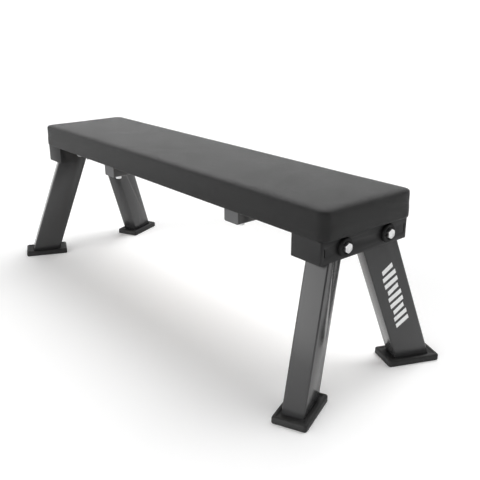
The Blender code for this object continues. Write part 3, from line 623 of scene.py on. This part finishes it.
def build_welds(finish):
    """Beads where the cross arms meet the spine and the spine meets the inner plates."""
    spine_low, spine_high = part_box("spine_tube")
    shape = bmesh.new()
    down = Vector((0, 0, -1))
    for corner, _, sy in CORNERS:
        low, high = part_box(corner + "_cross_arm")
        joint_y = spine_high.y if sy > 0 else spine_low.y
        add_bead(shape, Vector((low.x + BEAD_INSET, joint_y, low.z)),
                 Vector((high.x - BEAD_INSET, joint_y, low.z)), down)
        for x, away in ((low.x, Vector((-1, sy, 0))), (high.x, Vector((1, sy, 0)))):
            add_bead(shape, Vector((x, joint_y, low.z + BEAD_INSET)),
                     Vector((x, joint_y, high.z - BEAD_INSET)), away.normalized())
    for _, sx in ENDS:
        x = sx * spine_high.x
        back = Vector((-sx, 0, 0))
        add_bead(shape, Vector((x, spine_low.y + BEAD_INSET, spine_low.z)),
                 Vector((x, spine_high.y - BEAD_INSET, spine_low.z)), (back + down).normalized())
        for y, sy in ((spine_low.y, -1), (spine_high.y, 1)):
            add_bead(shape, Vector((x, y, spine_low.z + BEAD_INSET)),
                     Vector((x, y, spine_high.z - BEAD_INSET)), (back + Vector((0, sy, 0))).normalized())
    new_piece(shape, "weld_beads", finish, sharp_angle=0)


def build_staples(finish):
    """Wire staples that hold the hem to the board, in a row round the underside."""
    low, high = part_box("pad_cover")
    shape = bmesh.new()
    reach_x, reach_y = high.x - STAPLE_INSET, high.y - STAPLE_INSET
    count_x, count_y = int(2 * reach_x / STAPLE_PITCH), int(2 * reach_y / STAPLE_PITCH)
    places = [(Vector((reach_x * (2 * (k + 0.5) / count_x - 1), sy * reach_y, 0)), 0.0)
              for k in range(count_x) for _, sy in SIDES]
    places += [(Vector((sx * reach_x, reach_y * (2 * (k + 0.5) / count_y - 1), 0)), 90.0)
               for k in range(count_y) for _, sx in ENDS]
    for place, turn in places:
        skew = STAPLE_SKEW * noise.noise(place * SKEW_SCALE)
        matrix = (Matrix.Translation((place.x, place.y, low.z - WIRE * WIRE_SUNK))
                  @ Matrix.Rotation(math.radians(turn + skew), 4, "Z"))
        half = STAPLE_LENGTH / 2
        route = [(inset - half, lift) for inset, lift in STAPLE_ENDS]
        route += [(half - inset, lift) for inset, lift in reversed(STAPLE_ENDS)]
        turns = [math.tau * k / WIRE_SIDES for k in range(WIRE_SIDES)]
        rings = [[shape.verts.new(matrix @ Vector((x, WIRE / 2 * math.cos(t), z + WIRE / 2 * math.sin(t))))
                  for t in turns] for x, z in route]
        for lower, upper in zip(rings, rings[1:]):
            for k in range(WIRE_SIDES):
                after = (k + 1) % WIRE_SIDES
                shape.faces.new((lower[k], lower[after], upper[after], upper[k]))
        shape.faces.new(rings[0])
        shape.faces.new(rings[-1])
    new_piece(shape, "hem_staples", finish, sharp_angle=0)


def build_mark(finish):
    """Plain slanted bars printed down the outer wide face of one leg."""
    low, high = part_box("front_left_leg")
    bracket_low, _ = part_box("front_bracket")
    lean_out = Vector((math.sin(LEG_YAW) * math.sin(LEG_LEAN), math.cos(LEG_YAW) * math.sin(LEG_LEAN),
                       -math.cos(LEG_LEAN)))
    face_out = Vector((math.cos(LEG_YAW), -math.sin(LEG_YAW), 0))
    across = lean_out.cross(face_out)
    # The leg's lowest level section lies against the box's far corner in X and in Y.
    half_v = LEG_HALF_WIDTH / math.cos(LEG_LEAN)
    trim = LEG_CORNER * (math.cos(LEG_YAW) + math.sin(LEG_YAW) - 1)
    foot_x = high.x - LEG_HALF_THICKNESS * math.cos(LEG_YAW) - half_v * math.sin(LEG_YAW) + trim
    foot_y = high.y - LEG_HALF_THICKNESS * math.sin(LEG_YAW) - half_v * math.cos(LEG_YAW) + trim
    foot = Vector((foot_x, foot_y, low.z)) + face_out * LEG_HALF_THICKNESS
    top = foot - lean_out * ((bracket_low.z - low.z) / math.cos(LEG_LEAN))
    shape = bmesh.new()
    for index in range(MARK_BARS):
        begin = MARK_START + index * MARK_PITCH
        width = MARK_WIDTH / 2 * (1.0 if index % 3 else MARK_SHORT)
        corners = []
        for side, slant in ((-1, 0.0), (1, MARK_SLANT)):
            for step in (0.0, MARK_BAR):
                corners.append((side * width, begin + step + slant))
        order = [corners[0], corners[1], corners[3], corners[2]]
        rings = [[shape.verts.new(top + lean_out * v + across * u + face_out * h) for u, v in order]
                 for h in (MARK_LIFT, MARK_THICKNESS)]
        for k in range(4):
            after = (k + 1) % 4
            shape.faces.new((rings[0][k], rings[0][after], rings[1][after], rings[1][k]))
        shape.faces.new(rings[0])
        shape.faces.new(rings[1])
    new_piece(shape, "leg_print", finish)


# ---- Frame pieces ------------------------------------------------------------------------
def build_frame(finishes):
    """Every rigid CAD node, with softened edges and its own finish."""
    refined("pad_board", finishes["board"], 0)
    refined("spine_tube", finishes["frame"], 0)
    for end, _ in ENDS:
        refined(end + "_bracket", finishes["bracket"], SHEET_EDGE)
        refined(end + "_inner_plate", finishes["bracket"], SHEET_EDGE)
    kinds = (("_rib", "bracket", PART_EDGE), ("_cross_arm", "frame", PART_EDGE), ("_arm_cap", "cap", 0),
             ("_leg", "frame", PART_EDGE), ("_leg_sleeve", "fastener", 0), ("_foot", "shoe", SHOE_EDGE),
             ("_leg_nut", "fastener", 0), ("_pad_bolt", "fastener", 0), ("_tee_nut", "fastener", 0))
    for corner, sx, _ in CORNERS:
        build_washer(corner, sx, finishes["washer"])
        build_leg_bolt(corner, sx, finishes["fastener"])
        for kind, slot, bevel in kinds:
            refined(corner + kind, finishes[slot], bevel)


# ---- Studio ------------------------------------------------------------------------------
def build_studio():
    """Camera, pale floor and soft lights."""
    camera_data = bpy.data.cameras.new("camera")
    camera_data.sensor_width = SENSOR
    camera_data.lens = LENS
    camera = bpy.data.objects.new("camera", camera_data)
    camera.location = CAMERA_PLACE
    camera.rotation_euler = [math.radians(angle) for angle in CAMERA_TURN]
    bpy.context.scene.collection.objects.link(camera)
    bpy.context.scene.camera = camera

    shape = bmesh.new()
    bmesh.ops.create_circle(shape, cap_ends=True, radius=FLOOR_RADIUS, segments=FLOOR_SIDES)
    mesh = bpy.data.meshes.new("floor")
    shape.to_mesh(mesh)
    shape.free()
    floor = bpy.data.objects.new("floor", mesh)
    floor.location.z = -FLOOR_DROP
    bpy.context.scene.collection.objects.link(floor)
    pale = Finish("pale_floor", Specular_IOR_Level=0.2, Emission_Color=(1.0, 1.0, 1.0, 1.0),
                  Emission_Strength=FLOOR_GLOW)
    tone = pale.noise(3.0, 2.0)
    mesh.materials.append(pale.done(pale.mix(tone, (0.93, 0.93, 0.93), (0.95, 0.95, 0.95)),
                                    pale.remap(tone, 0.0, 1.0, 0.7, 0.8)))

    world = bpy.data.worlds.new("studio")
    bpy.context.scene.world = world
    world.use_nodes = True
    tree = world.node_tree
    background = tree.nodes["Background"]
    direction = tree.nodes.new("ShaderNodeTexCoord").outputs["Generated"]

    def ramp(value, limits):
        made = tree.nodes.new("ShaderNodeMapRange")
        made.interpolation_type = "SMOOTHSTEP"
        tree.links.new(value, made.inputs["Value"])
        for socket, limit in limits.items():
            made.inputs[socket].default_value = limit
        return made.outputs["Result"]

    height = tree.nodes.new("ShaderNodeSeparateXYZ")
    tree.links.new(direction, height.inputs[0])
    side = tree.nodes.new("ShaderNodeVectorMath")
    side.operation = "DOT_PRODUCT"
    tree.links.new(direction, side.inputs[0])
    side.inputs[1].default_value = SKY_BRIGHT_SIDE
    sky = tree.nodes.new("ShaderNodeMath")
    sky.operation = "MULTIPLY"
    tree.links.new(ramp(height.outputs["Z"], SKY), sky.inputs[0])
    tree.links.new(ramp(side.outputs["Value"], SKY_SIDE), sky.inputs[1])
    plain = tree.nodes.new("ShaderNodeMath")
    plain.operation = "MAXIMUM"
    tree.links.new(tree.nodes.new("ShaderNodeLightPath").outputs["Is Camera Ray"], plain.inputs[0])
    tree.links.new(sky.outputs[0], plain.inputs[1])
    tree.links.new(plain.outputs[0], background.inputs["Strength"])
    background.inputs["Color"].default_value = (1.0, 1.0, 1.0, 1.0)

    for name, place, strength, angle in SUNS:
        lamp = bpy.data.lights.new(name, "SUN")
        lamp.energy = strength
        lamp.angle = math.radians(angle)
        sun = bpy.data.objects.new(name, lamp)
        sun.rotation_euler = (-Vector(place)).to_track_quat("-Z", "Y").to_euler()
        bpy.context.scene.collection.objects.link(sun)
    bpy.context.scene.view_settings.view_transform = "Standard"


# ---- Build -------------------------------------------------------------------------------
FINISHES = {
    "cover": vinyl(),
    "board": plywood(),
    "bracket": powder_coat("black_powder_coat", (0.013, 0.013, 0.0133), (0.016, 0.016, 0.0163), 0.42, 0.5,
                           900.0, (0.07, 0.07, 0.072), gloss=0.2),
    "frame": powder_coat("gunmetal_paint", (0.029, 0.029, 0.0296), (0.034, 0.034, 0.0346), 0.22, 0.27,
                         700.0, (0.16, 0.16, 0.16)),
    "washer": powder_coat("black_satin", (0.003, 0.003, 0.003), (0.005, 0.005, 0.005), 0.50, 0.60,
                          900.0, (0.03, 0.03, 0.03), gloss=0.2),
    "cap": powder_coat("grey_plastic", (0.060, 0.061, 0.063), (0.072, 0.073, 0.075), 0.42, 0.5,
                       600.0, (0.12, 0.12, 0.12)),
    "fastener": zinc(),
    "shoe": rubber(),
}
build_studio()
build_pad(FINISHES["cover"])
build_frame(FINISHES)
build_welds(FINISHES["frame"])
build_staples(FINISHES["fastener"])
build_mark(ink())
